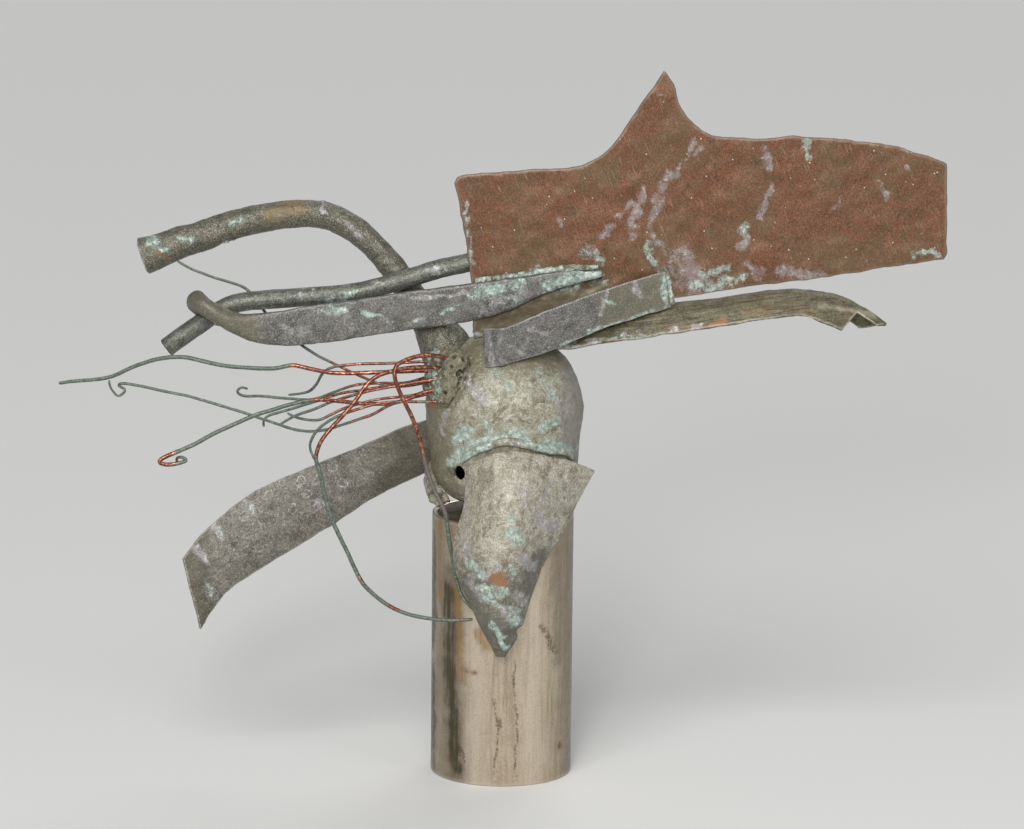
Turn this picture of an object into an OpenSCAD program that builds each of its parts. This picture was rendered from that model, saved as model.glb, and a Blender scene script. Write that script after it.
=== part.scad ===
// Weather vane: a hollow cast hub with a beak, tail plate, wing, horn and a spray of
// stiff copper wires, turning on a spindle in the top of an upright steel pipe.
// The origin is the centre of the pipe's foot. +Z is up and +X is the way the tail points.
// Every height in the vane's own outlines and routes is measured from the pipe's top.

/* [Post] */
// Outside diameter of the upright pipe
post_d = 88.9; // [86:0.1:90]
// Height of the upright pipe
post_h = 167; // [140:1:240]
// Wall thickness of the upright pipe
post_wall = 5.5; // [4.5:0.5:7]
// Thickness of the plug that closes the pipe's top
plug_t = 30; // [26:1:40]

/* [Bearing] */
// Radius of the spindle's journal
journal_r = 9; // [8.5:0.5:10]
// Radial running clearance of the two bushes on the journal
run_gap = 0.05; // [0.02:0.01:0.1]
// Diameter of the ball that carries the vane's weight
ball_d = 12; // [10:1:13]

/* [Hub] */
// Largest radius of the hollow hub
hub_r = 49.3; // [48.5:0.1:50]
// Wall thickness of the hub casting
hub_wall = 3.5; // [2.5:0.5:4]
// Diameter of the drain hole in the hub's front
drain_d = 7.5; // [5:0.5:8]

/* [Sheet, bar and rod] */
// Thickness of the upright tail plate
plate_t = 3; // [2:0.5:4]
// Thickness of the beak, wing, gutter, brace and lip
sheet_t = 3; // [2:0.25:3.5]
// Thickness of the flat side bar
bar_t = 5; // [4:0.5:6]
// Width of the flat side bar
bar_w = 24; // [20:1:26]
// Diameter of the long round rod
rod_d = 12; // [10:0.5:13]
// Wall thickness of the hollow horn
horn_wall = 3; // [2:0.5:4]

/* [Wires] */
// Radius of the heavy copper wires
wire_r = 1.3; // [1:0.1:1.5]
// Radius of the fine copper wires
fine_r = 0.9; // [0.7:0.1:1]

/* [Hidden] */

// Smoothness of the round solids
round_fn = 96;
// Sections along a sheet, and strips across it
sheet_rows = 24;
sheet_strips = 8;

// Upright pipe, plug and spindle
post_r = post_d / 2;
bore_r = post_r - post_wall;
seat_r = bore_r + 1.55;
shank_r = 8;
collar_r = 13;
collar_t = 3;
washer_r = 15;
washer_t = 2.5;
nut_r = 13.86;
nut_t = 8;
thread_past_nut = 3;
recess_r = washer_r + 1;
recess_t = washer_t + nut_t + thread_past_nut + 1;
web_t = plug_t - recess_t;

// Swivel tube and its bushes, from the pipe's top
ball_r = ball_d / 2;
ball_z = 73;
dish_gap = 0.05;
cap_gap = 0.3;
tube_bore_r = 13;
tube_r = 16;
tube_z = [3.6, 86];
lower_bush_z = [4, 22];
upper_bush_z = [50, 69];
cap_z = [74, 86];

// Hub outline, from the pipe's top
shoulder_z = 69;
crown_h = 45;
waist_z = 38;
waist_r = hub_r - 2.8;
bowl_h = 34;
bowl_power = 2.5;
drain_z = 32;
drain_angle = 233;

BRONZE = [0.47, 0.44, 0.37];
TAN = [0.55, 0.48, 0.38];
COPPER = [0.48, 0.30, 0.21];
LEAD = [0.45, 0.43, 0.45];
KHAKI = [0.44, 0.43, 0.38];
VERDIGRIS = [0.50, 0.66, 0.62];
STEEL = [0.70, 0.65, 0.58];
BRIGHT = [0.80, 0.42, 0.30];
BUSH = [0.72, 0.60, 0.34];

// ---------------------------------------------------------------- curves and lofts

function unit(v) = v / norm(v);
function held(list, i) = list[max(0, min(len(list) - 1, i))];

// A smooth curve through the given points, or numbers, at u from 0 to 1
function curve(list, u) =
    let (s = u * (len(list) - 1), i = min(floor(s), len(list) - 2), f = s - i)
    let (a = held(list, i - 1), b = held(list, i), c = held(list, i + 1), d = held(list, i + 2))
    0.5 * (2 * b + (c - a) * f + (2 * a - 5 * b + 4 * c - d) * f * f
        + (3 * b - a - 3 * c + d) * f * f * f);

// The same curve as a list of points
function smooth(list, steps) = [for (i = [0:steps]) curve(list, i / steps)];

// A parabola through an edge, a middle and the other edge, at s from 0 to 1
function across(a, m, b, s) =
    2 * (s - 0.5) * (s - 1) * a + 4 * s * (1 - s) * m + 2 * s * (s - 0.5) * b;

// Points half way between two edges, pushed out by a bow
function middle(a, b, bow) = [for (i = [0:len(a) - 1]) (a[i] + b[i]) / 2 + bow];

// Sideways vectors carried along a curve without twisting
function carried(dirs, side, i = 0, done = []) =
    i == len(dirs) ? done
    : let (flat = unit(side - (side * dirs[i]) * dirs[i]))
        carried(dirs, flat, i + 1, concat(done, [flat]));

// A squared-off sine or cosine: power 2 is an ellipse, a high power a rectangle
function squared(v, power) = sign(v) * pow(abs(v), 2 / power);

// Sections along a path: half sizes a and b, and the power that squares them off
function sections(path, half_a, half_b, power, sides, steps, side) =
    let (us = [for (i = [0:steps]) i / steps])
    let (dirs = [for (u = us) unit(curve(path, min(u + 0.01, 1)) - curve(path, max(u - 0.01, 0)))])
    let (ups = carried(dirs, side))
    [for (i = [0:steps])
        let (across_dir = cross(ups[i], dirs[i]), centre = curve(path, us[i]))
        let (a = curve(half_a, us[i]), b = curve(half_b, us[i]), p = curve(power, us[i]))
        [for (k = [0:sides - 1]) let (t = 360 * (k + 0.5) / sides)
            centre + a * squared(cos(t), p) * ups[i] + b * squared(sin(t), p) * across_dir]];

// Skins a list of rings with the same number of points; each end is closed in strips
module loft(rings) {
    n = len(rings[0]);
    last = len(rings) - 1;
    side_faces = [for (i = [0:last - 1], k = [0:n - 1])
        let (a = i * n + k, b = i * n + (k + 1) % n)
        each [[a, b, b + n], [a, b + n, a + n]]];
    end_faces = [for (k = [0:n / 2 - 2]) let (far = n - 1 - k)
        each [[k, far, far - 1], [k, far - 1, k + 1]]];
    other_faces = [for (f = end_faces) [f[2], f[1], f[0]] + [1, 1, 1] * last * n];
    polyhedron([for (ring = rings) each ring], concat(side_faces, end_faces, other_faces));
}

// A round bar along a path, with one radius or a list of them
module bar(path, radius, sides = 8, steps = 24, side = [0, 1, 0.1]) {
    radii = is_list(radius) ? radius : [radius, radius];
    loft(sections(path, radii, radii, [2, 2], sides, steps, side));
}

function sheet_point(e, u, s) = across(curve(e[0], u), curve(e[1], u), curve(e[2], u), s);

function sheet_normal(e, u, s) =
    let (d = 0.02, u0 = max(u - d, 0), u1 = min(u + d, 1), s0 = max(s - d, 0), s1 = min(s + d, 1))
    unit(cross(sheet_point(e, u1, s) - sheet_point(e, u0, s),
        sheet_point(e, u, s1) - sheet_point(e, u, s0)));

// A curved sheet between two edges, through a middle line; e holds the three
module sheet(e, thickness, rows = sheet_rows, strips = sheet_strips) {
    half = thickness / 2;
    loft([for (i = [0:rows]) let (u = i / rows)
        concat(
            [for (j = [0:strips]) let (s = j / strips)
                sheet_point(e, u, s) + half * sheet_normal(e, u, s)],
            [for (j = [strips:-1:0]) let (s = j / strips)
                sheet_point(e, u, s) - half * sheet_normal(e, u, s)])]);
}

module on_post() {
    translate([0, 0, post_h]) children();
}

module ring(inner_r, outer_r, z0, z1) {
    translate([0, 0, z0]) difference() {
        cylinder(r = outer_r, h = z1 - z0, $fn = round_fn);
        translate([0, 0, -1]) cylinder(r = inner_r, h = z1 - z0 + 2, $fn = round_fn);
    }
}

// ---------------------------------------------------------------- post, plug and spindle

module post_pipe() {
    color(STEEL) difference() {
        cylinder(r = post_r, h = post_h, $fn = round_fn);
        translate([0, 0, -1]) cylinder(r = bore_r, h = post_h + 2, $fn = round_fn);
        translate([0, 0, post_h - plug_t]) cylinder(r = seat_r, h = plug_t + 1, $fn = round_fn);
    }
}

// The plug's underside is recessed, so that the nut stays clear of the pipe's bore
module bearing_plug() {
    color(STEEL) on_post() difference() {
        ring(shank_r, seat_r, -plug_t, 0);
        translate([0, 0, -plug_t - 1]) cylinder(r = recess_r, h = recess_t + 1, $fn = round_fn);
    }
}

module spindle() {
    shank_end = -web_t - washer_t - nut_t - thread_past_nut;
    journal_top = ball_z - 2;
    color("silver") on_post() difference() {
        rotate_extrude($fn = round_fn) polygon([
            [0, shank_end], [shank_r - 1, shank_end], [shank_r, shank_end + 1],
            [shank_r, 0], [collar_r, 0], [collar_r, collar_t], [journal_r, collar_t],
            [journal_r, journal_top], [0, journal_top]]);
        translate([0, 0, ball_z]) sphere(r = ball_r + dish_gap, $fn = round_fn);
    }
}

module spindle_washer() {
    color("silver") on_post() ring(shank_r + 0.2, washer_r, -web_t - washer_t, -web_t);
}

module spindle_nut() {
    color("silver") on_post() translate([0, 0, -web_t - washer_t - nut_t]) difference() {
        cylinder(r = nut_r, h = nut_t, $fn = 6);
        translate([0, 0, -1]) cylinder(r = shank_r, h = nut_t + 2, $fn = round_fn);
    }
}

module bearing_ball() {
    color("silver") on_post() translate([0, 0, ball_z]) sphere(r = ball_r, $fn = 64);
}

// ---------------------------------------------------------------- hub and swivel

// Half outline of the hub, drawn in by an inset, from its bottom up to its crown
function hub_outline(inset) =
    let (power = 2 / bowl_power, bowl = bowl_h - inset, crown = crown_h - inset)
    concat(
        [[0, waist_z - bowl]],
        [for (a = [80:-10:0])
            [(waist_r - inset) * pow(cos(a), power), waist_z - bowl * pow(sin(a), power)]],
        [for (a = [0:10:80]) [(hub_r - inset) * cos(a), shoulder_z + crown * sin(a)]],
        [[0, shoulder_z + crown]]);

module hub_shell() {
    color(BRONZE) on_post() difference() {
        rotate_extrude($fn = round_fn) polygon(hub_outline(0));
        rotate_extrude($fn = round_fn) polygon(hub_outline(hub_wall));
        cylinder(r = tube_r, h = waist_z, $fn = round_fn);
        rotate([0, 0, drain_angle]) translate([hub_r / 2, 0, drain_z]) rotate([0, 90, 0])
            cylinder(d = drain_d, h = hub_r, $fn = 32);
    }
}

module swivel_tube() {
    color(BUSH) on_post() ring(tube_bore_r, tube_r, tube_z[0], tube_z[1]);
}

module lower_bush() {
    color(BUSH) on_post() ring(journal_r + run_gap, tube_bore_r, lower_bush_z[0], lower_bush_z[1]);
}

module upper_bush() {
    color(BUSH) on_post() ring(journal_r + run_gap, tube_bore_r, upper_bush_z[0], upper_bush_z[1]);
}

module thrust_cap() {
    color(BUSH) on_post() difference() {
        translate([0, 0, cap_z[0]]) cylinder(r = tube_bore_r, h = cap_z[1] - cap_z[0], $fn = round_fn);
        translate([0, 0, ball_z]) sphere(r = ball_r + cap_gap, $fn = round_fn);
    }
}

// A torn lip of metal at the lower left of the hub
module hub_lip() {
    root = [[-43.5, 2, 31], [-42.5, -6, 24], [-39, -11, 16], [-33, -16, 9]];
    rim = [[-47, 2, 29], [-50, -6, 22], [-48, -12, 13], [-41, -18, 6]];
    color(TAN) on_post() sheet([root, middle(root, rim, [0, 0, 1]), rim], sheet_t, 8, 4);
}

// The spongy lump of braze that holds the roots of all the wires
module wire_boss() {
    lumps = [[-43, -11, 83, 8.5], [-40, -14, 98, 8.5], [-30, -29, 100, 9], [-34, -29, 80, 9]];
    color(KHAKI) on_post() hull() {
        for (lump = lumps) {
            translate([lump[0], lump[1], lump[2]]) sphere(r = lump[3], $fn = 20);
        }
    }
}

// ---------------------------------------------------------------- beak, tail and wing

// A curled, pointed sheet that hangs from the front of the hub
module beak() {
    left = [[-21.5, -41, 36], [-22, -43, 25], [-24, -44, 11], [-28.5, -44, -6], [-30, -46, -17],
        [-26.6, -50, -32], [-20, -54, -45], [-13.5, -57, -59], [-3, -60, -78]];
    ridge = [[8, -49.5, 48.5], [8, -60, 37], [6, -66, 20], [2, -69, 0], [-2, -70, -17],
        [-4, -69, -34], [-3, -67, -50], [-2, -64, -66], [-1, -61, -79]];
    right = [[57, -20, 31], [48, -26, 16], [37, -34, -4], [25, -43, -24], [20, -47, -36],
        [16, -50, -46], [11.5, -55, -60], [6.5, -58, -71], [1, -60, -79]];
    color(TAN) on_post() sheet([left, ridge, right], sheet_t, 28, 10);
}

// Upright plate with one horn-like peak; x and height of its outline
module tail_plate() {
    front_sweep = [[-32, 207], [-28, 213], [0, 216], [40, 219], [54, 223], [66, 233], [80, 255], [97, 280]];
    back_sweep = [[97, 280], [103, 270], [105, 262], [112, 251], [123, 241], [138, 239], [160, 238]];
    top_edge = [[178, 240], [202, 239], [232, 236], [256, 230], [273, 224]];
    foot_edge = [[275, 167], [273, 163], [236, 158], [204, 152], [161, 146], [105, 137], [-20, 113]];
    rear_edge = [[-21, 147], [-24, 168], [-28, 190]];
    outline = concat(smooth(front_sweep, 18), smooth(back_sweep, 14), top_edge, foot_edge, rear_edge);
    color(COPPER) on_post() rotate([90, 0, 0]) linear_extrude(plate_t, center = true) polygon(outline);
}

// An arched strip under the tail plate, like an upturned gutter
module tail_gutter() {
    near = [[12, -19, 110], [34, -13, 106], [58, -12, 110], [90, -12, 114.5], [125, -12, 120],
        [158, -12, 125.5], [182, -12, 129], [196, -12, 125], [209, -12, 120]];
    crest = [[12, 0, 116.5], [34, 1, 121], [58, 1, 125], [90, 1, 130], [125, 1, 134.5],
        [160, 1, 140], [190, 1, 142], [215, 1, 135], [238, -1, 122]];
    far = [[12, 18, 110], [34, 14, 110], [58, 13, 114], [90, 12, 120], [125, 12, 126],
        [160, 12, 131], [188, 12, 132], [208, 11, 127], [222, 9, 118]];
    color(TAN) on_post() sheet([near, crest, far], sheet_t);
}

// A folded strip from the hub's front to the tail plate
module brace_strip() {
    upper = [[-13, -25, 121], [-3, -37.5, 124], [4, -36.5, 126], [32, -27, 136], [64, -16, 146],
        [99, -3.3, 155]];
    lower = [[-11.5, -35, 99], [-6, -38, 100], [4, -36, 102], [30, -27, 109], [62, -16, 121],
        [103, -3.3, 132]];
    color(LEAD) on_post() sheet([upper, middle(upper, lower, [0, -0.4, 0]), lower], sheet_t, 26, 4);
}

// A long curved strip that reaches down and out from the back of the hub
module wing_strip() {
    upper = [[-202, 6, -34], [-186, 14, -15], [-160, 20, 5], [-130, 25, 19], [-98, 27, 32],
        [-70, 27, 45], [-38, 23, 58]];
    lower = [[-191, 0, -79], [-176, 6, -57], [-151, 12, -40], [-122, 17, -23], [-92, 21, -3],
        [-66, 24, 11], [-36, 24, 25]];
    color(KHAKI) on_post() sheet([upper, middle(upper, lower, [0, -2, 0]), lower], sheet_t);
}

// ---------------------------------------------------------------- bars, rod and horn

// A flat bar on the plate's face; its free end is drawn out round and looped over the long rod
module side_bar() {
    y = -(plate_t + bar_t) / 2;
    half_w = bar_w / 2;
    half_t = bar_t / 2;
    path = [[60, y, 153], [40, y, 150], [18, y, 144.5], [-3, y, 138], [-30, y, 132.5], [-62, y, 128],
        [-93, y, 122.8], [-125, y, 118], [-143, y, 116], [-156, y - 0.5, 116.5], [-166, -5.2, 119],
        [-174, -6.4, 122.5], [-181, -6.4, 126.5], [-187, -5, 129.5], [-191.5, 0.5, 131.5],
        [-193, 7.5, 131.5], [-193, 14.5, 128], [-189.5, 20, 123], [-183, 21.8, 119.5], [-176, 21.8, 117.5]];
    heights = [2, 4.5, 7, 10.3, half_w, half_w, half_w, half_w, half_w - 1.5, 9, 6.8,
        6, 6, 6, 6, 6, 6, 6, 6, 5.5];
    depths = [half_t, half_t, half_t, half_t, half_t, half_t, half_t, half_t, half_t, 3.4, 4.8,
        5.6, 6, 6, 6, 6, 6, 6, 6, 5.5];
    powers = [8, 8, 8, 8, 8, 8, 8, 8, 7, 4, 2.5, 2, 2, 2, 2, 2, 2, 2, 2, 2];
    color(LEAD) on_post() loft(sections(path, heights, depths, powers, 20, 54, [0, 0, 1]));
}

// A round rod brazed to the back of the plate, under the loop of the side bar
module long_rod() {
    y = (plate_t + rod_d) / 2;
    path = [[60, y, 174], [20, y, 167], [-23, y, 157], [-41, y, 153], [-60, y, 147], [-80, y, 140.5],
        [-103, y, 136], [-128, y, 134], [-153, y, 132], [-169, y, 129.5], [-181, y, 123.5],
        [-195, y, 113.5], [-212, y - 1.5, 101]];
    color(LEAD) on_post() bar(path, rod_d / 2, 16, 36);
}

// A bent tube with a flared open end, which swells into a foot on the hub's shoulder
module horn() {
    path = [[-228, 30, 155], [-217, 30, 159], [-205, 30, 164], [-192, 30, 168], [-180, 30, 173],
        [-159, 30, 179], [-135, 30, 183], [-117, 29, 183], [-103, 28, 179], [-90, 27, 170.5],
        [-79, 26, 160], [-70, 25, 149], [-61, 23, 137], [-52, 18, 124], [-43, 11, 112],
        [-36, 5, 101], [-31, 1, 88]];
    radii = [12.3, 11, 10.2, 9.8, 9.5, 9, 8.8, 8.7, 8.5, 8.3, 8.2, 8.3, 8.6, 10, 13.5, 16.5, 14];
    sides = 18;
    outer = sections(path, radii, radii, [2, 2], sides, 44, [0, 0, 1]);
    bores = [for (r = radii) r - horn_wall];
    inner = sections(path, bores, bores, [2, 2], sides, 44, [0, 0, 1]);
    hollow_to = 34;
    color(KHAKI) on_post() loft(concat([for (i = [hollow_to:-2:0]) inner[i]], outer));
}

// ---------------------------------------------------------------- beads of weld and braze

module beak_weld() {
    path = [[-26, -40.5, 41], [-20, -43.5, 46], [-10, -47, 51.5], [3, -49.3, 55], [16, -47.2, 52],
        [30, -40, 48], [38, -32, 45], [43.5, -20, 38.5]];
    color(VERDIGRIS) on_post() bar(path, [2, 2.8, 3, 3, 3, 2.8, 2.2, 2], 8, 22);
}

module plate_weld() {
    path = [[-19, -2.5, 112.5], [-8, -3, 114.5], [4, -3, 117], [16, -3, 119.5], [30, -3, 121.5]];
    color(TAN) on_post() bar(path, 2.2, 8, 12);
}

module bar_weld() {
    path = [[-19, -2.6, 147.5], [-3, -2.6, 149.5], [15, -2.6, 152.5], [36, -2.6, 155.5], [58, -2.6, 156.5]];
    color(VERDIGRIS) on_post() bar(path, 2.4, 8, 14);
}

module brace_weld() {
    path = [[99.5, -2.6, 157], [101.5, -2.8, 147], [103.5, -2.8, 138], [104.5, -2.6, 133.5]];
    color(VERDIGRIS) on_post() bar(path, 2, 8, 8);
}

module rod_weld() {
    path = [[-19, 3.2, 165], [0, 3.2, 169.5], [20, 3.2, 174], [40, 3.2, 177.5], [60, 3.2, 181]];
    color(VERDIGRIS) on_post() bar(path, 2.4, 8, 14);
}

module wing_weld() {
    path = [[-39, 20, 24], [-42.5, 21.5, 33], [-44, 22, 42], [-44.5, 21.5, 50], [-42, 25, 60]];
    color(KHAKI) on_post() bar(path, 2.6, 8, 12);
}

// ---------------------------------------------------------------- wires, from their roots outward

module wire(path, radius, steps, taper = 0.8) {
    color(BRIGHT) on_post() bar(path, [radius, radius, radius, radius, radius * taper], 8, steps);
}

module wire_long() {
    wire([[-44, -18, 93], [-61, -20, 93], [-81, -20, 92], [-102, -20, 91], [-121, -20, 94],
        [-131, -20, 96], [-142, -20, 94], [-159, -20, 94], [-178, -20, 96], [-198, -18, 100],
        [-216, -15, 98], [-232, -12, 92], [-247, -10, 85], [-268, -8, 82], [-278, -8, 81]], wire_r, 40);
}

module wire_horn() {
    wire([[-48, -9, 84], [-61, -12, 82], [-73, -12, 82], [-84, -10, 85], [-97, -6, 90], [-112, 0, 96],
        [-126, 6, 103], [-146, 16, 117], [-160, 20, 135], [-171, 22, 140], [-186, 24, 144],
        [-199, 26, 149], [-206, 27, 153]], fine_r, 32);
}

module wire_hook() {
    wire([[-45.5, -20, 79], [-61, -20, 75], [-71, -20, 71], [-85, -20, 64], [-102, -20, 58],
        [-116, -18, 54], [-129, -16, 54], [-143, -14, 58], [-162, -12, 64], [-192, -8, 72],
        [-220, -6, 77.6], [-237, -6, 80.6], [-240.6, -7, 79.4], [-236.4, -8.8, 77], [-241, -9.6, 73.4],
        [-245.6, -9, 78.6], [-246.4, -8.5, 83]], fine_r, 60, 0.7);
}

module wire_low() {
    wire([[-41.5, -28, 83], [-51, -27, 80.5], [-61, -26, 76], [-72, -28, 74], [-88, -30, 74],
        [-104, -32, 76], [-117, -34, 77], [-133, -36, 74], [-153, -38, 68], [-174, -40, 59],
        [-196, -43, 47.5], [-209, -44.5, 42.2], [-212.6, -45, 39.4], [-209, -45, 37.6], [-202, -44.5, 38],
        [-196, -43, 39.6], [-199, -42, 41.6], [-202.2, -41.5, 40.4], [-201, -41, 36.6]],
        wire_r, 60, 0.55);
}

module wire_curl() {
    wire([[-46, -13, 89], [-61, -7, 83], [-79, -4, 82], [-94, -2, 80], [-107, 0, 75], [-119, 2, 70],
        [-135, 4, 70], [-152, 6, 71], [-163, 8, 70.5], [-167.5, 8, 73], [-165, 8, 76],
        [-161, 9, 75]], fine_r, 36);
}

module wire_arc() {
    wire([[-38, -29, 97], [-52, -32, 98], [-64, -34, 97], [-79, -38, 93], [-87, -40, 85],
        [-94, -42, 75], [-106, -44, 62], [-113, -46, 53], [-116, -46, 43], [-114, -46, 36],
        [-111, -47, 22], [-106, -48, 5], [-97, -49, -14], [-87, -50, -35], [-74, -51, -47],
        [-60, -52, -54], [-43, -53, -57], [-29, -53, -58], [-18, -52, -57]], wire_r, 44);
}

module wire_drop() {
    wire([[-34, -33, 103], [-43, -36, 106], [-52, -38, 106], [-61, -41, 104], [-67, -44, 100],
        [-67, -46, 91], [-60, -46, 76], [-54, -46, 63], [-50, -46, 48], [-47, -46, 35],
        [-41, -46, 20], [-36, -46, 10], [-34, -45, -2], [-32, -43, -17], [-29, -43, -33],
        [-25, -45, -44], [-18, -47.5, -52]], wire_r, 44);
}

module wire_branch() {
    wire([[-44, -14, 98], [-70, -15, 97], [-100, -15, 95.5], [-112, -13, 91], [-117, -9, 82],
        [-123, -5, 76], [-135, -3, 74]], fine_r, 20);
}

module wire_inner() {
    wire([[-48, -14, 78.5], [-60, -14, 76], [-77, -14, 74], [-94, -15, 70], [-107, -17, 65],
        [-116, -19, 61], [-129, -20, 63], [-135, -20, 66]], fine_r, 20);
}

module wire_fork() {
    wire([[-42, -22, 87], [-59, -22, 86], [-83, -18, 81], [-102, -13, 77], [-118, -9, 71],
        [-135, -7, 65], [-149, -6, 60], [-150, -6, 54]], fine_r, 22);
}

module wire_spur() {
    wire([[-39, -27, 90], [-58, -29, 87], [-83, -29, 82], [-105, -26.5, 75], [-119, -26, 69],
        [-132, -26, 64], [-140, -26, 59]], fine_r, 20);
}

module wire_bend() {
    wire([[-40, -31, 76], [-56, -32.5, 76], [-74, -35, 76], [-93, -37, 71], [-106, -38, 66],
        [-116, -38, 58], [-120, -38, 49], [-117, -38, 40]], fine_r, 22);
}

post_pipe();
bearing_plug();
spindle();
spindle_washer();
spindle_nut();
bearing_ball();
hub_shell();
swivel_tube();
lower_bush();
upper_bush();
thrust_cap();
hub_lip();
wire_boss();
beak();
tail_plate();
tail_gutter();
brace_strip();
side_bar();
long_rod();
horn();
wing_strip();
beak_weld();
plate_weld();
bar_weld();
brace_weld();
rod_weld();
wing_weld();
wire_long();
wire_horn();
wire_hook();
wire_low();
wire_curl();
wire_arc();
wire_drop();
wire_branch();
wire_inner();
wire_fork();
wire_spur();
wire_bend();
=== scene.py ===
"""The looks of the weather vane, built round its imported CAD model.

Each visible CAD node is replaced by a finer copy of itself that is dented, pitted or torn in
mesh code and painted by stains held as vertex colours. Lengths are millimetres, except for the
camera, floor and lights, which are in metres. Heights on the vane are measured from the pipe's
top, as in the CAD source. The colours of the materials are from 0 to 255.
"""

import math
from itertools import product

import bmesh
import bpy
import numpy as np
from mathutils import Matrix, Vector


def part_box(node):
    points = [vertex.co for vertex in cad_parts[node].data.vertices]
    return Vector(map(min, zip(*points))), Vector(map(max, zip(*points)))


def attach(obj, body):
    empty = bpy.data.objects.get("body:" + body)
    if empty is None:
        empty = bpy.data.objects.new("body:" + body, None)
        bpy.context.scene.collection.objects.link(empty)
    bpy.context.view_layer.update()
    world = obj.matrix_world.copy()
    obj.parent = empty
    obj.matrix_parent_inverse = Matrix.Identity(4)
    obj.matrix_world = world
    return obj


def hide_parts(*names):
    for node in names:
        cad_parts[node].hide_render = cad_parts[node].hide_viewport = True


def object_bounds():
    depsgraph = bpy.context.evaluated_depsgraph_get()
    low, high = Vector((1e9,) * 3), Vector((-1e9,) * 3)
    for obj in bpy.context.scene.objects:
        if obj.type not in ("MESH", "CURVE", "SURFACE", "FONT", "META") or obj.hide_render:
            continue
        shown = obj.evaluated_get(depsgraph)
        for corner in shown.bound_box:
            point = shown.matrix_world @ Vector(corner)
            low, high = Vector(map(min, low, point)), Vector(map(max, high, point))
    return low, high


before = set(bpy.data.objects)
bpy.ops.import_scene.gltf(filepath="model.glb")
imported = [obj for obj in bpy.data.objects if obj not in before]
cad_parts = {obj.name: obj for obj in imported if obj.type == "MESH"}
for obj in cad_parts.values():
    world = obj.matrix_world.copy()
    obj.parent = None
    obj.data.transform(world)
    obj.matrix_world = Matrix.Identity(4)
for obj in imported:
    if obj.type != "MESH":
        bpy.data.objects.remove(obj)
CAD_LOW, CAD_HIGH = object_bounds()

MM = 0.001
POST_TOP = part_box("post_pipe")[1].z / MM
POST_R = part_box("post_pipe")[1].x / MM
SKIN = 0.02  # how far every surface stays inside the CAD model's box


def linked(name, data):
    """A new object in the scene that holds the data."""
    thing = bpy.data.objects.new(name, data)
    bpy.context.scene.collection.objects.link(thing)
    return thing


# ---- camera

CAMERA_AT = Vector((0.0050, -2.9398, 0.8272))
CAMERA_TO = Vector((0.0050, 0.0, 0.2291))
CAMERA_LENS = 168.4
CAMERA_ROLL = math.radians(0.57)
SENSOR_WIDTH = 36.0


def add_camera():
    data = bpy.data.cameras.new("camera")
    data.lens = CAMERA_LENS
    data.sensor_width = SENSOR_WIDTH
    data.clip_start = 0.05
    data.clip_end = 50.0
    camera = linked("camera", data)
    turn = (CAMERA_TO - CAMERA_AT).to_track_quat("-Z", "Y").to_matrix().to_4x4()
    roll = Matrix.Rotation(CAMERA_ROLL, 4, "Z")
    camera.matrix_world = Matrix.Translation(CAMERA_AT) @ turn @ roll
    bpy.context.scene.camera = camera


add_camera()

# ---- noise on points


def hashed(cells, seed):
    """A fixed pseudo-random number from 0 to 1 for each row of whole numbers.

    The large odd numbers only scramble the bits, of which the mask keeps the low 32."""
    mask = np.uint64(0xFFFFFFFF)
    x, y, z = (cells[:, i].astype(np.int64).astype(np.uint64) & mask for i in range(3))
    n = (x * np.uint64(374761393) + y * np.uint64(668265263) + z * np.uint64(2246822519)) & mask
    n = (n + np.uint64(seed * 3266489917 % 0xFFFFFFFF)) & mask
    n = ((n ^ (n >> np.uint64(15))) * np.uint64(2654435761)) & mask
    n = ((n ^ (n >> np.uint64(13))) * np.uint64(1274126177)) & mask
    return ((n ^ (n >> np.uint64(16))) & mask).astype(float) / 0xFFFFFFFF


def smooth_noise(points, size, seed):
    """Noise from -1 to 1 with lumps of the given size."""
    spot = points / size
    cell = np.floor(spot)
    part = spot - cell
    part = part * part * (3 - 2 * part)
    total = np.zeros(len(points))
    for corner in product((0, 1), repeat=3):
        weight = np.prod(np.where(corner, part, 1 - part), axis=1)
        total += weight * hashed(cell + corner, seed)
    return total * 2 - 1


def rough_noise(points, size, seed, octaves=4):
    """Noise from about -1 to 1 with finer and weaker lumps added on."""
    finer, reach = 2.03, 1.6
    total = np.zeros(len(points))
    strength, whole = 1.0, 0.0
    for i in range(octaves):
        total += strength * smooth_noise(points, size, seed + i)
        whole += strength
        size, strength = size / finer, strength / 2
    return total / whole * reach


def nearest_pit(points, size, seed):
    """Distance to the nearest of a scatter of points one to a cell, where 1 is a cell's width."""
    spot = points / size
    cell = np.floor(spot)
    nearest = np.full(len(points), np.inf)
    for corner in product((-1, 0, 1), repeat=3):
        other = cell + corner
        jitter = np.stack([hashed(other, seed + k) for k in range(3)], axis=1)
        nearest = np.minimum(nearest, np.linalg.norm(other + jitter - spot, axis=1))
    return nearest


def stepped(value, low, high):
    """0 below low, 1 above high, and a smooth step between them."""
    t = np.clip((value - low) / (high - low), 0, 1)
    return t * t * (3 - 2 * t)


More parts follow.
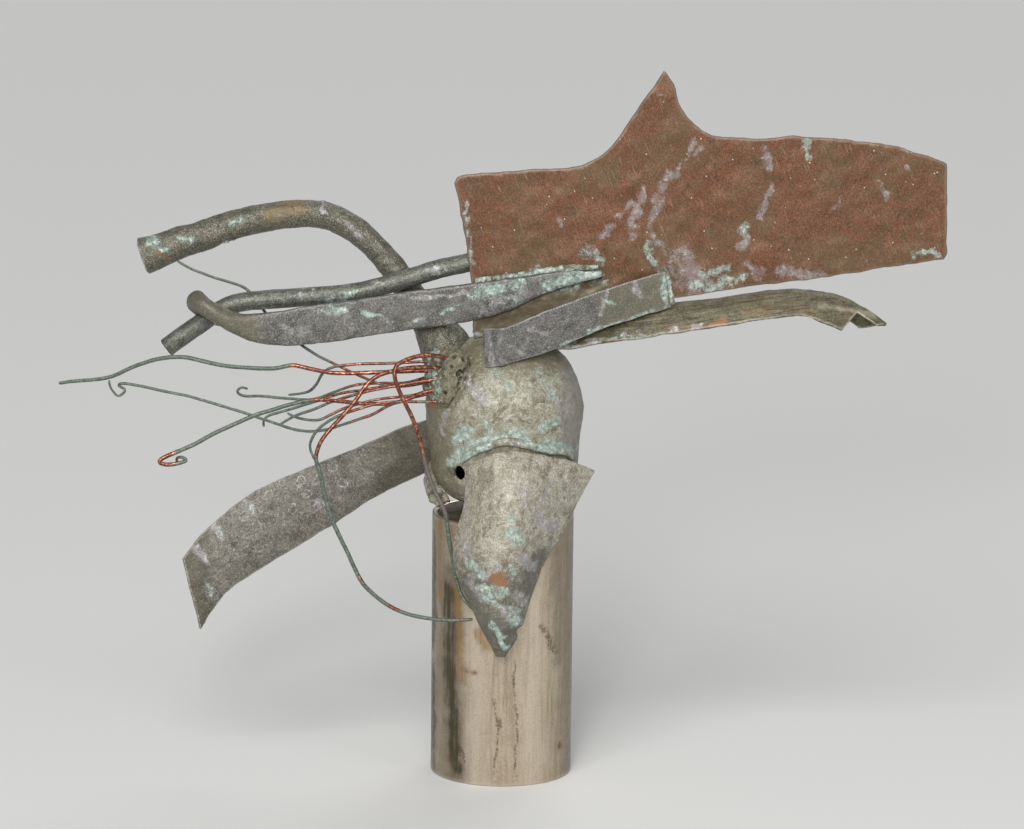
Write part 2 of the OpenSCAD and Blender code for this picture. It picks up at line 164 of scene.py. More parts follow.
def strokes(points, marks, waver=1.8, gaps=0.5):
    """How much of a stain lies at each point: each mark is (x, z) to (x, z) and its reach.

    The points waver by that many millimetres first, so that a mark's outline is uneven,
    and gaps is how much of the stain is lost where it has worn thin."""
    total = np.zeros(len(points))
    offset = [rough_noise(points, 6.5, seed, 3) for seed in (401, 411)]
    flat = points[:, [0, 2]] + waver * np.stack(offset, axis=1)
    for x0, z0, x1, z1, reach in marks:
        start, along = np.array((x0, z0)), np.array((x1 - x0, z1 - z0), float)
        length = max(float(along @ along), 1e-9)
        t = np.clip((flat - start) @ along / length, 0, 1)
        away = np.linalg.norm(flat - start - t[:, None] * along, axis=1)
        total = np.maximum(total, bell(away, reach))
    return total * (1 - gaps * stepped(rough_noise(points, 5.0, 421), -0.2, 0.6))


def bell(value, width):
    """1 where the value is 0, falling off over the width on both sides."""
    return np.exp(-((value / width) ** 2))


def rings(points, centres, radius, width=0.75):
    """1 along uneven circles round each (x, z) and 0 away from them."""
    total = np.zeros(len(points))
    uneven = 1.2 * rough_noise(points, 3.0, 431, 2)
    for x, z in centres:
        away = np.hypot(points[:, 0] - x, points[:, 2] - z) + uneven
        total = np.maximum(total, bell(away - radius, width))
    return total


# ---- pieces from CAD nodes

# What the vertex colours hold: red, green, blue and alpha of "stains", then of "tones"
# On the pipe, verdigris and chalk hold painted dark reflections and painted highlights instead, and on the
# hub and beak the tones also hold painted shade.
STAINS = ("verdigris", "chalk", "copper", "soot")
TONES = ("warm", "wear", "streak_and_painted_shade")


class Piece:
    """A finer copy of a CAD node, held as points in millimetres from the pipe's top.

    Each stain and tone is a number from 0 to 1 for every point."""

    def __init__(self, node, mesh):
        self.node = node
        self.mesh = mesh
        self.points = self.held("co") / MM - (0, 0, POST_TOP)
        self.normals = self.held("normal")
        for channel in STAINS + TONES:
            setattr(self, channel, 0.0)

    def held(self, what):
        """One of the mesh's lists of vectors, a row for each vertex."""
        flat = np.zeros(len(self.mesh.vertices) * 3)
        self.mesh.vertices.foreach_get(what, flat)
        return flat.reshape(-1, 3)

    def write(self):
        """Puts the points back in the mesh, kept just inside the CAD model's box."""
        low = np.array(CAD_LOW) / MM + SKIN
        high = np.array(CAD_HIGH) / MM - SKIN
        placed = np.clip(self.points + (0, 0, POST_TOP), low, high)
        self.mesh.vertices.foreach_set("co", (placed * MM).ravel())
        self.mesh.update()

    def push(self, amount):
        """Moves each point out along its normal, in millimetres."""
        self.points = self.points + self.normals * amount[:, None]

    def renew(self):
        """Takes the normals again from the shape as it is now."""
        self.write()
        self.normals = self.held("normal")

    def shake(self, size, amount, seed):
        """Moves points by smooth noise, so that straight edges waver."""
        moves = [rough_noise(self.points, size, seed + 7 * k, 2) for k in range(3)]
        self.points = self.points + np.stack(moves, axis=1) * amount

    def finish(self, slot, material, body="vane"):
        """Makes the visual piece that replaces the CAD node and rides on its body."""
        self.write()
        for name, channels in (("stains", STAINS), ("tones", TONES)):
            values = np.zeros((len(self.points), 4))
            for i, channel in enumerate(channels):
                values[:, i] = np.clip(getattr(self, channel), 0, 1)
            layer = self.mesh.color_attributes.new(name, "FLOAT_COLOR", "POINT")
            layer.data.foreach_set("color", values.ravel())
        self.mesh.polygons.foreach_set("use_smooth", [True] * len(self.mesh.polygons))
        self.mesh.materials.clear()
        self.mesh.materials.append(material)
        thing = linked(f"{self.node}_finish", self.mesh)
        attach(thing, body)
        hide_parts(self.node)


def welded(node):
    """A bmesh of a CAD node with its doubled points joined."""
    shape = bmesh.new()
    shape.from_mesh(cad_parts[node].data)
    bmesh.ops.remove_doubles(shape, verts=shape.verts, dist=0.01 * MM)
    return shape


def baked_mesh(shape, name, modifiers):
    """Runs modifiers, given as (kind, settings), on a bmesh and returns the new mesh."""
    mesh = bpy.data.meshes.new(name)
    shape.to_mesh(mesh)
    shape.free()
    thing = linked(name, mesh)
    for kind, settings in modifiers:
        modifier = thing.modifiers.new(kind.lower(), kind)
        for key, value in settings.items():
            setattr(modifier, key, value)
    bpy.context.view_layer.update()
    shown = thing.evaluated_get(bpy.context.evaluated_depsgraph_get())
    result = bpy.data.meshes.new_from_object(shown)
    bpy.data.objects.remove(thing)
    result.name = name
    return result


def near_side_cutter(outline):
    """A prism through the vane's near side; its outline is (x, height) points."""
    depths = (-60.0, 1.5)  # from in front of the vane to just past its middle
    places = [(x * MM, y * MM, (z + POST_TOP) * MM) for y in depths for x, z in outline]
    count = len(outline)
    sides = [(i, (i + 1) % count, (i + 1) % count + count, i + count) for i in range(count)]
    caps = [tuple(range(count))[::-1], tuple(range(count, 2 * count))]
    mesh = bpy.data.meshes.new("cutter")
    mesh.from_pydata(places, [], sides + caps)
    shape = bmesh.new()
    shape.from_mesh(mesh)
    bmesh.ops.recalc_face_normals(shape, faces=shape.faces)
    shape.to_mesh(mesh)
    shape.free()
    return linked("cutter", mesh)


def remeshed(node, voxel, soften=2, cuts=()):
    """The node's shape as an even grid of small faces, voxel millimetres across."""
    cutters = [near_side_cutter(outline) for outline in cuts]
    steps = [("BOOLEAN", {"operation": "DIFFERENCE", "object": cutter}) for cutter in cutters]
    steps.append(("REMESH", {"mode": "VOXEL", "voxel_size": voxel * MM, "adaptivity": 0.0}))
    steps.append(("SMOOTH", {"factor": 0.5, "iterations": soften}))
    mesh = baked_mesh(welded(node), node, steps)
    for cutter in cutters:
        bpy.data.objects.remove(cutter)
    return Piece(node, mesh)


def subdivided(node, levels, grow):
    """The node's faces split smoothly; grow makes up for the girth that this takes off."""
    shape = welded(node)
    bmesh.ops.join_triangles(
        shape, faces=shape.faces, angle_face_threshold=3.0, angle_shape_threshold=3.0
    )
    piece = Piece(node, baked_mesh(shape, node, [("SUBSURF", {"levels": levels})]))
    piece.push(np.full(len(piece.points), grow))
    return piece


# ---- node materials


def srgb(red, green, blue):
    """A colour from 0 to 255 as the linear numbers that shaders use."""
    return tuple(
        c / 12.92 if c <= 0.04045 else ((c + 0.055) / 1.055) ** 2.4
        for c in (red / 255, green / 255, blue / 255)
    ) + (1.0,)


class Look:
    """A node material whose colour is laid on in coats, each over the last.

    patina() gives it the noises broad, fine and grit, and its light and dark specks."""

    def __init__(self, name):
        self.material = bpy.data.materials.new(name)
        self.material.use_nodes = True
        self.tree = self.material.node_tree
        self.tree.nodes.clear()
        self.place = self.add("ShaderNodeTexCoord").outputs["Object"]
        stains = self.add("ShaderNodeAttribute", {"attribute_name": "stains"})
        tones = self.add("ShaderNodeAttribute", {"attribute_name": "tones"})
        self.verdigris, self.chalk, self.copper = self.parts(stains.outputs["Color"])
        self.soot = stains.outputs["Alpha"]
        self.warm, self.wear, self.streak_and_painted_shade = self.parts(tones.outputs["Color"])
        self.colour = None
        self.height = None

    def add(self, kind, settings=None, **inputs):
        """A new node; an underscore in an input's name stands for a space."""
        node = self.tree.nodes.new(kind)
        for key, value in (settings or {}).items():
            setattr(node, key, value)
        for key, value in inputs.items():
            self.feed(node.inputs[key.replace("_", " ")], value)
        return node

    def feed(self, socket, value):
        """Links the socket to another one or sets its value; colours are from 0 to 255."""
        if isinstance(value, bpy.types.NodeSocket):
            self.tree.links.new(value, socket)
        else:
            socket.default_value = srgb(*value) if socket.type == "RGBA" else value

    def parts(self, colour):
        split = self.add("ShaderNodeSeparateColor", Color=colour)
        return tuple(split.outputs)

    def maths(self, kind, a, b=0.0):
        node = self.add("ShaderNodeMath", {"operation": kind})
        self.feed(node.inputs[0], a)
        self.feed(node.inputs[1], b)
        return node.outputs[0]

    def times(self, a, b):
        return self.maths("MULTIPLY", a, b)

    def plus(self, a, b):
        return self.maths("ADD", a, b)

    def turned(self, stretch, tilt):
        """The place, turned by tilt degrees about Y and then stretched along its axes."""
        turn = (0, math.radians(tilt), 0)
        kind = {"vector_type": "TEXTURE"}
        return self.add(
            "ShaderNodeMapping", kind, Vector=self.place, Rotation=turn, Scale=stretch
        ).outputs[0]

    def noise(self, size, detail=4.0, rough=0.55, stretch=None, tilt=0.0, bend=0.0):
        """Noise from 0 to 1; stretch makes its lumps longer along X, Y or Z."""
        where = self.turned(stretch, tilt) if stretch else self.place
        return self.add(
            "ShaderNodeTexNoise", Vector=where, Scale=1 / (size * MM), Detail=detail, Roughness=rough,
            Distortion=bend,
        ).outputs[0]

    def cells(self, size):
        """Distance to the nearest of a scatter of points that are about size apart."""
        node = self.add("ShaderNodeTexVoronoi", Vector=self.place, Scale=1 / (size * MM))
        return node.outputs["Distance"]

    def band(self, value, low, high):
        """0 at low and 1 at high, with a smooth step between; low may be above high."""
        ends = (1.0, 0.0) if low > high else (0.0, 1.0)
        return self.add(
            "ShaderNodeMapRange", {"interpolation_type": "SMOOTHSTEP"}, Value=value,
            From_Min=min(low, high), From_Max=max(low, high), To_Min=ends[0], To_Max=ends[1],
        ).outputs[0]

    def ramp(self, value, colours):
        """Colours spread evenly from 0 to 1."""
        node = self.add("ShaderNodeValToRGB", Fac=value)
        stops = node.color_ramp.elements
        while len(stops) < len(colours):
            stops.new(0.5)
        for i, colour in enumerate(colours):
            stops[i].position = i / (len(colours) - 1)
            stops[i].color = srgb(*colour)
        return node.outputs[0]

    def blend(self, amount, under, over, kind="MIX"):
        node = self.add("ShaderNodeMix", {"data_type": "RGBA", "blend_type": kind})
        self.feed(node.inputs[0], amount)
        self.feed(node.inputs[6], under)
        self.feed(node.inputs[7], over)
        return node.outputs[2]

    def swing(self, value, amount):
        """Noise from 0 to 1 turned into noise about 0 of the given amount."""
        return self.times(self.maths("SUBTRACT", value, 0.5), amount)

    def crest(self, value, level, wide, narrow):
        """1 within narrow of the level and 0 past wide, on both sides of it."""
        return self.band(self.maths("ABSOLUTE", self.maths("SUBTRACT", value, level)), wide, narrow)

    def coat(self, amount, colour, kind="MIX"):
        self.colour = self.blend(amount, self.colour, colour, kind)

    def glaze(self, mask, strength, colour):
        """A coat where the mask is, at most as strong as the strength."""
        self.coat(self.times(mask, strength), colour)

    def mottle(self, value, share, dark, light):
        """Darkens and lightens the colour by a value that runs from a dark grey to a light one."""
        self.coat(share, self.ramp(value, [(dark,) * 3, (light,) * 3]), "SOFT_LIGHT")

    def powder(self, mask, grain=1.0, cover=0.65, bite=4.6):
        """A stain's mask turned into a ragged patch that thins out into loose grains."""
        patch = self.times(self.noise(4.5 * grain, 6.0, 0.66, bend=0.8), 0.45)
        grains = self.times(self.noise(0.95 * grain, 5.0, 0.78), 0.55)
        spread = self.swing(self.plus(patch, grains), bite)
        return self.band(self.times(mask, self.plus(spread, cover)), 0.14, 0.55)

    def dust(self, mask, strength, colour, grain=1.0, cover=0.65, bite=4.6):
        """A coat of powder."""
        self.glaze(self.powder(mask, grain, cover, bite), strength, colour)

    def blotch(self, size, low, high, strength, colour):
        """A coat of ragged patches where noise of one size passes from low to high."""
        self.glaze(self.band(self.noise(size, 7.0, 0.7, bend=0.8), low, high), strength, colour)

    def speckle(self, share=1.0):
        """The patina's fine mottling with its light specks and dark pits, laid on once more."""
        (light, light_share), (dark, dark_share) = self.specks
        self.mottle(self.band(self.fine, 0.25, 0.75), 0.8 * share, 70, 186)
        self.glaze(self.band(self.grit, 0.54, 0.64), light_share * share, light)
        self.glaze(self.band(self.grit, 0.45, 0.36), dark_share * share, dark)

    def lift(self, value, amount):
        """Adds to the height, in millimetres, that the bump is made from."""
        raised = self.times(value, amount)
        self.height = raised if self.height is None else self.plus(self.height, raised)

    def done(self, metal, dull, shiny, gloss=None):
        """dull and shiny are the roughness where gloss, or else the fine noise, is 0 and 1."""
        gloss = gloss or self.fine
        rough = self.add("ShaderNodeMapRange", Value=gloss, To_Min=dull, To_Max=shiny).outputs[0]
        bump = self.add("ShaderNodeBump", Height=self.height, Distance=MM, Strength=1.0).outputs[0]
        shader = self.add("ShaderNodeBsdfPrincipled", Base_Color=self.colour, Metallic=metal)
        self.feed(shader.inputs["Roughness"], rough)
        self.feed(shader.inputs["Normal"], bump)
        output = self.add("ShaderNodeOutputMaterial")
        self.tree.links.new(shader.outputs[0], output.inputs[0])
        return self.material


TURQUOISE = (158, 174, 164)
DEEP_TURQUOISE = (116, 132, 120)
PALE_TURQUOISE = (206, 222, 214)
LIME_WHITE = (206, 206, 204)
LAVENDER = (142, 137, 139)
RAW_COPPER = (140, 96, 66)
DARK_CRUST = (48, 46, 35)


def add_stains(look, verdigris=0.9, chalk=0.8, grain=1.0):
    """The four stains that the vertex colours place, each as powder of its own colour."""
    tint = look.band(look.noise(3.0, 7.0, 0.72), 0.3, 0.7)
    look.dust(look.soot, 0.75, DARK_CRUST, grain)
    look.dust(look.copper, 0.85, RAW_COPPER, grain, cover=0.7, bite=3.0)
    look.dust(look.chalk, chalk, look.ramp(tint, [LAVENDER, LAVENDER, LIME_WHITE]), grain)
    patch = look.powder(look.verdigris, grain)
    shades = look.ramp(tint, [DEEP_TURQUOISE, TURQUOISE, PALE_TURQUOISE])
    look.glaze(patch, verdigris, shades)
    look.lift(patch, 0.15)


def patina(name, tones, lumps, light, dark, bumps, contrast=0.18):
    """Mottled patina: tones over lumps of one size, then fine light specks and dark pits.

    light and dark are (colour, share from 0 to 1)."""
    look = Look(name)
    look.broad = look.noise(lumps, 7.0, 0.66, bend=0.5)
    look.fine = look.noise(1.1, 5.0, 0.72)
    look.grit = look.noise(0.75, 4.0, 0.7)
    look.specks = (light, dark)
    mixed = look.band(look.broad, 0.5 - contrast, 0.5 + contrast)
    look.colour = look.ramp(mixed, tones)
    look.speckle()
    look.lift(look.broad, bumps * 2)
    look.lift(look.fine, bumps)
    look.lift(look.grit, bumps * 0.5)
    return look


# ---- post


def turned_pipe():
    """The pipe as a lathed mesh with eased edges, fine enough to carry its stains."""
    plug_low, plug_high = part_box("bearing_plug")
    seat = plug_high.x / MM
    plug_foot = plug_low.z / MM
    seat_depth = 1.55
    bore = seat - seat_depth
    ease = 0.5
    outer = [(POST_R, z) for z in np.linspace(ease * 1.5, POST_TOP - ease * 1.5, 84)]
    inner = [(seat, POST_TOP - ease), (seat, plug_foot), (bore, plug_foot)]
    inner += [(bore, z) for z in np.linspace(plug_foot - 10, ease, 12)]
    top = [(POST_R - ease * 0.3, POST_TOP - ease * 0.3), (POST_R - ease * 1.5, POST_TOP)]
    foot = [(bore + ease, 0), (POST_R - ease * 1.5, 0), (POST_R - ease * 0.3, ease * 0.3)]
    profile = outer + top + inner + foot
    rows = len(profile)
    turns = 288
    angles = np.arange(turns) * 2 * math.pi / turns
    places = [(r * math.cos(a), r * math.sin(a), z) for a in angles for r, z in profile]
    faces = []
    for i, j in product(range(turns), range(rows)):
        here, there = i * rows, (i + 1) % turns * rows
        above = (j + 1) % rows
        faces.append((here + j, there + j, there + above, here + above))
    mesh = bpy.data.meshes.new("post_pipe")
    mesh.from_pydata([(x * MM, y * MM, z * MM) for x, y, z in places], [], faces)
    mesh.update()
    return Piece("post_pipe", mesh)


def pipe_look():
    look = Look("stained_steel")
    upright = look.noise(3.0, 6.0, 0.62, stretch=(1, 1, 16))
    thread = look.noise(1.0, 4.0, 0.6, stretch=(1, 1, 30))
    cloud = look.noise(22.0, 7.0, 0.62, bend=0.5)
    grain = look.noise(1.0, 4.0, 0.72)
    smudge = look.noise(5.0, 6.0, 0.66, bend=0.5)
    tones = [(188, 174, 154), (206, 193, 174), (220, 208, 190)]
    look.colour = look.ramp(look.band(upright, 0.3, 0.7), tones)
    look.glaze(look.band(cloud, 0.48, 0.7), 0.35, (184, 164, 138))
    look.glaze(look.band(upright, 0.52, 0.66), 0.25, (150, 134, 110))
    # Painted dark reflections down the pipe's sides, laid on where the verdigris channel is
    uneven = look.plus(look.times(upright, 0.7), 0.55)
    look.glaze(look.times(look.verdigris, uneven), 0.82, (78, 72, 54))
    # Painted highlights: bright streaks down the pipe, held as chalk
    look.glaze(look.chalk, 0.45, (236, 226, 210))
    look.glaze(look.band(thread, 0.56, 0.7), 0.2, (222, 212, 196))
    look.mottle(look.band(grain, 0.25, 0.75), 0.7, 84, 172)
    streaky = look.plus(look.swing(upright, 2.2), 0.7)
    for mask, strength, colour in (
        # Dark runs, and a painted dark reflection down the pipe's left edge
        (look.soot, 0.85, (70, 64, 48)),
        # Golden-brown runs, and a painted golden reflection under the beak's tip
        (look.warm, 0.75, (156, 118, 60)),
        (look.copper, 0.8, (122, 74, 44)),
    ):
        running = look.band(look.times(mask, streaky), 0.1, 0.75)
        look.glaze(running, strength, colour)
    look.dust(look.streak_and_painted_shade, 0.7, (92, 68, 48), cover=0.5, bite=5.0)
    look.glaze(look.band(grain, 0.4, 0.33), 0.45, (112, 96, 74))
    look.glaze(look.wear, 0.5, (214, 204, 188))
    look.lift(thread, 0.05)
    look.lift(grain, 0.07)
    return look.done(metal=0.85, dull=0.44, shiny=0.3, gloss=look.band(smudge, 0.3, 0.7))


def add_post():
    """The pipe, with its own meaning for each stain and tone.

    Its verdigris holds painted dark reflections down the sides, chalk painted highlights in bright
    streaks, copper the rust, soot the dark runs and a painted dark left edge, warm the brown runs
    and a painted golden reflection under the beak's tip, streak the drips and wear the bright rims."""
    pipe = turned_pipe()
    p = pipe.points
    front = stepped(-p[:, 1], -5, 10)
    bend = rough_noise(p, 30, 11, 2) * 1.6
    where = p + np.stack([bend, bend * 0, bend * 0], axis=1)
    around = np.arctan2(p[:, 1], p[:, 0]) * POST_R
    streaky = np.stack([around, around * 0, p[:, 2] / 14], axis=1)
    back_streaks = stepped(rough_noise(streaky, 9, 51), 0.35, 0.7) * (1 - front)

    def stain(*marks):
        return strokes(where, marks, gaps=0.15)

    foot = -POST_TOP
    # Painted dark reflections down the pipe's sides, and a darker column left of its middle, held as
    # verdigris
    pipe.verdigris = stain((-46, 0, -46, foot, 5))
    pipe.verdigris += 0.75 * stain((44, 0, 44, foot, 9), (-30, -30, -30, foot, 6))
    pipe.verdigris += 0.3 * stain((-37, 0, -37, foot, 4), (33, -10, 33, -90, 4))
    # Painted highlights in two bright streaks down the front, held as chalk
    pipe.chalk = front * stain((-17, 0, -17, foot, 7), (20, -20, 18, foot, 7))
    pipe.copper = front * stain(
        (-30, -2, -30, -14, 2.2), (-23, -93, -16, -94, 2.6), (37, -144, 37, -148, 1.6)
    )
    runs = stain((-33, -44, -30, -158, 4.5), (-43, -10, -43.5, -150, 1.6))
    # A painted dark reflection down the pipe's left edge
    painted_dark_edge = 0.75 * stain((-47, 0, -47, foot, 5))
    pipe.soot = 0.8 * back_streaks + front * np.maximum(runs, painted_dark_edge)
    # Golden-brown runs, and a painted golden reflection just under the beak's tip
    pipe.warm = front * stain(
        (-39, 0, -39, -50, 2.2), (-27, -42, -25, -100, 3.4), (-14, -68, -10, -78, 4), (-3, -74, -3, -84, 2)
    )
    drips = stain(
        (-4, -110, -4, -160, 1.1), (-3, -124, -3, -128, 2.2), (9, -86, 9, -160, 0.9),
        (24, -64, 31, -82, 2.6), (-27, -146, -24, -152, 2),
    )
    pipe.streak_and_painted_shade = back_streaks * stepped(rough_noise(p, 5, 61), 0, 0.4) + front * drips
    rim = np.minimum(np.abs(p[:, 2]), np.abs(p[:, 2] + POST_TOP))
    pipe.wear = 1 - stepped(rim, 0.4, 1.6)
    pipe.finish("steel_pipe", pipe_look(), "post")


def turned_look(name, tones, metal, rough):
    """A lathe-turned metal with fine rings round the pipe's axis."""
    look = Look(name)
    turning = look.noise(0.5, 3.0, 0.6, stretch=(40, 40, 1))
    cloud = look.noise(7.0, 5.0, 0.6)
    look.colour = look.ramp(look.band(cloud, 0.3, 0.7), tones)
    look.mottle(turning, 0.4, 100, 158)
    look.lift(turning, 0.05)
    return look.done(metal, rough + 0.1, rough - 0.1, cloud)


def paint_bearing():
    """The bearing's turned parts keep their CAD shapes."""
    stained = turned_look("stained_plug", [(84, 76, 56), (122, 110, 86)], 0.5, 0.55)
    steel = turned_look("turned_steel", [(150, 148, 142), (196, 194, 190)], 0.9, 0.35)
    bronze = turned_look("turned_bronze", [(150, 118, 62), (190, 154, 92)], 0.9, 0.38)
    for material, nodes in (
        (stained, ("bearing_plug",)),
        (steel, ("spindle", "spindle_washer", "spindle_nut", "bearing_ball")),
        (bronze, ("swivel_tube", "lower_bush", "upper_bush", "thrust_cap")),
    ):
        for node in nodes:
            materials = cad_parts[node].data.materials
            materials.clear()
            materials.append(material)


# ---- hub, lip and boss

BOSS_AT = np.array((-35.0, -27.0, 91.0))
RING_PIT = (4.0, 65.0)
CREASE = [
    (-33, 38, -25, 47, 3.6), (-25, 47, -11, 55, 4.6), (-11, 55, 2, 58, 4.4), (2, 58, 16, 54, 3.8),
    (16, 52, 30, 50, 3.4), (30, 50, 43, 45, 3.2), (-30, 52, -22, 60, 3.6), (2, 61, 10, 60, 3.0),
    (24, 62, 32, 66, 3.0), (-14, 66, -8, 62, 2.4),
]


def hub_look():
    look = patina(
        "hub_patina",
        [(122, 117, 98), (146, 141, 121), (160, 156, 138), (174, 171, 156), (138, 131, 110)],
        lumps=9.0, light=((206, 208, 196), 0.35), dark=((112, 107, 88), 0.35), bumps=0.18,
    )
    cloud = look.noise(9.0, 4.0, 0.6, bend=1.2)
    look.glaze(look.crest(cloud, 0.5, 0.03, 0.0), 0.5, (206, 206, 196))
    look.blotch(8.0, 0.5, 0.62, 0.5, (118, 110, 86))
    look.blotch(3.2, 0.57, 0.66, 0.6, (190, 195, 182))
    look.blotch(2.4, 0.6, 0.68, 0.5, (96, 90, 72))
    # Darker olive, which down the hub's left side is painted shade
    look.dust(look.warm, 0.75, (104, 98, 74), grain=1.2, cover=0.8)
    look.speckle(0.3)
    # Purple-grey painted shade down the hub's right side
    look.dust(look.streak_and_painted_shade, 0.6, (124, 118, 117), cover=0.8)
    add_stains(look)
    look.glaze(look.wear, 0.6, (206, 206, 196))
    return look.done(metal=0.12, dull=0.6, shiny=0.42)


def sponge(points, size, seed):
    """0 in a spongy lump's pores and 1 on its solid parts."""
    return stepped(nearest_pit(points, size, seed), 0.22, 0.5)


def add_hub(material):
    hub = remeshed("hub_shell", 0.9)
    p = hub.points
    front = stepped(-p[:, 1], 0, 14)
    near_boss = bell(np.linalg.norm(p - BOSS_AT, axis=1), 17)
    lumps = rough_noise(p, 32, 3, 2) * 0.9 + rough_noise(p, 11, 5, 3) * 0.55
    grain = rough_noise(p, 2.6, 9, 2) * 0.13
    pores = (1 - sponge(p, 4.2, 13)) * stepped(near_boss, 0.12, 0.5)
    away = np.hypot(p[:, 0] - RING_PIT[0], p[:, 2] - RING_PIT[1])
    pit = front * (0.5 * bell(away - 4.2, 1.3) - 1.3 * bell(away, 2.7))
    outside = stepped(np.hypot(p[:, 0], p[:, 1]), 30, 40) + stepped(p[:, 2], 80, 95)
    hub.push((lumps + grain - 1.7 * pores + pit) * np.clip(outside, 0, 1))
    hub.renew()
    runs = strokes(p, [(-12, 105, 4, 88, 5), (20, 96, 32, 78, 4)])
    around_boss = stepped(near_boss, 0.3, 0.9) * (1 - sponge(p, 6, 21))
    hub.verdigris = front * (1.25 * strokes(p, CREASE) + 0.5 * runs) + 0.75 * around_boss
    hub.chalk = front * strokes(p, [
        (-20, 49, -6, 55, 2.6), (8, 57, 20, 52, 2.4), (26, 51, 34, 50, 2), (36, 60, 40, 80, 2),
        (30, 84, 36, 70, 1.6), (0, 59, 8, 60, 2.6), (-24, 92, -12, 80, 4), (-38, 55, -36, 70, 2.5),
    ])
    hub.copper = front * strokes(p, [(-45, 70, -43, 76, 2.5)]) * 0.9
    drain = front * strokes(p, [(-31, 33, -31, 33, 4.4)])
    hub.soot = pores + 0.9 * drain + 0.5 * strokes(p, [(-40, 24, -28, 18, 6)])
    # Painted shade down the hub's left side, with darker olive round the boss, low on the left and towards
    # the top
    olive_and_painted_shade = 0.65 * strokes(p, [(-38, 18, -24, 22, 6)]) + 0.9 * stepped(near_boss, 0.05, 0.7)
    olive_and_painted_shade += 0.7 * stepped(-p[:, 0], 20, 42) + 0.6 * stepped(p[:, 2], 82, 104)
    hub.warm = front * olive_and_painted_shade.clip(0, 1) + 0.35 * (1 - front)
    # Painted shade down the hub's right side
    hub.streak_and_painted_shade = 0.8 * stepped(p[:, 0], 26, 44)
    hub.wear = pit.clip(0, 1) * 0.8
    hub.finish("hub_bronze", material)


def add_lip(material):
    lip = remeshed("hub_lip", 0.5)
    lip.shake(5, 0.7, 71)
    lip.push(rough_noise(lip.points, 3, 73) * 0.35)
    lip.soot = stepped(rough_noise(lip.points, 5, 75), 0.1, 0.6) * 0.8
    lip.chalk = stepped(-lip.points[:, 0], 45, 50) * 0.55
    lip.warm = 0.6
    lip.finish("hub_bronze", material)


def boss_look():
    look = patina(
        "spongy_braze",
        [(98, 93, 70), (116, 110, 88), (130, 124, 102), (142, 138, 116)],
        lumps=4.0, light=((190, 198, 182), 0.45), dark=((74, 70, 52), 0.45), bumps=0.3,
    )
    add_stains(look)
    return look.done(metal=0.1, dull=0.75, shiny=0.5)


def add_boss(material):
    boss = remeshed("wire_boss", 0.5)
    p = boss.points
    holes = sponge(p, 4.6, 31)
    clustered = stepped(rough_noise(p, 11, 29, 2), -0.35, 0.25)
    holes = 1 - (1 - holes) * clustered
    boss.push(rough_noise(p, 9, 33) * 0.9 - 0.5 + (holes - 0.9) * 3.4 + rough_noise(p, 2, 35, 2) * 0.3)
    boss.renew()
    boss.soot = (1 - holes) * 1.2
    fingers = stepped(-p[:, 0], 34, 44) * stepped(rough_noise(p * (0.35, 1, 1), 3.0, 37), -0.2, 0.3)
    boss.verdigris = np.clip(fingers + 0.45 * stepped(rough_noise(p, 5, 39), 0.3, 0.7), 0, 1) * holes
    boss.finish("braze", material)


# ---- beak


def beak_look():
    look = patina(
        "beak_patina",
        [(140, 133, 114), (164, 158, 140), (178, 173, 157), (192, 189, 176), (152, 144, 126)],
        lumps=12.0, light=((222, 222, 214), 0.4), dark=((120, 115, 100), 0.4), bumps=0.12,
    )
    hairs = look.noise(0.8, 5.0, 0.62, stretch=(1, 1, 12), tilt=24.0, bend=0.5)
    other = look.noise(0.8, 5.0, 0.62, stretch=(10, 1, 1), tilt=12.0, bend=0.5)
    strand = look.blend(look.band(look.broad, 0.46, 0.54), hairs, other)
    look.mottle(look.band(strand, 0.3, 0.7), 0.5, 66, 190)
    look.lift(strand, 0.12)
    cloud = look.noise(10.0, 5.0, 0.62, bend=1.4)
    look.glaze(look.crest(cloud, 0.5, 0.02, 0.0), 0.55, (214, 213, 204))
    look.blotch(7.0, 0.51, 0.62, 0.5, (124, 117, 100))
    look.blotch(3.4, 0.57, 0.66, 0.5, (204, 204, 194))
    look.blotch(2.6, 0.6, 0.68, 0.5, (104, 99, 86))
    # On the beak this dark coat is painted shade over the lower part and tip, with darker patches by the
    # sides
    look.dust(look.warm, 0.8, (80, 77, 66), grain=1.4, cover=0.85)
    look.speckle(0.35)
    add_stains(look)
    return look.done(metal=0.1, dull=0.58, shiny=0.4)


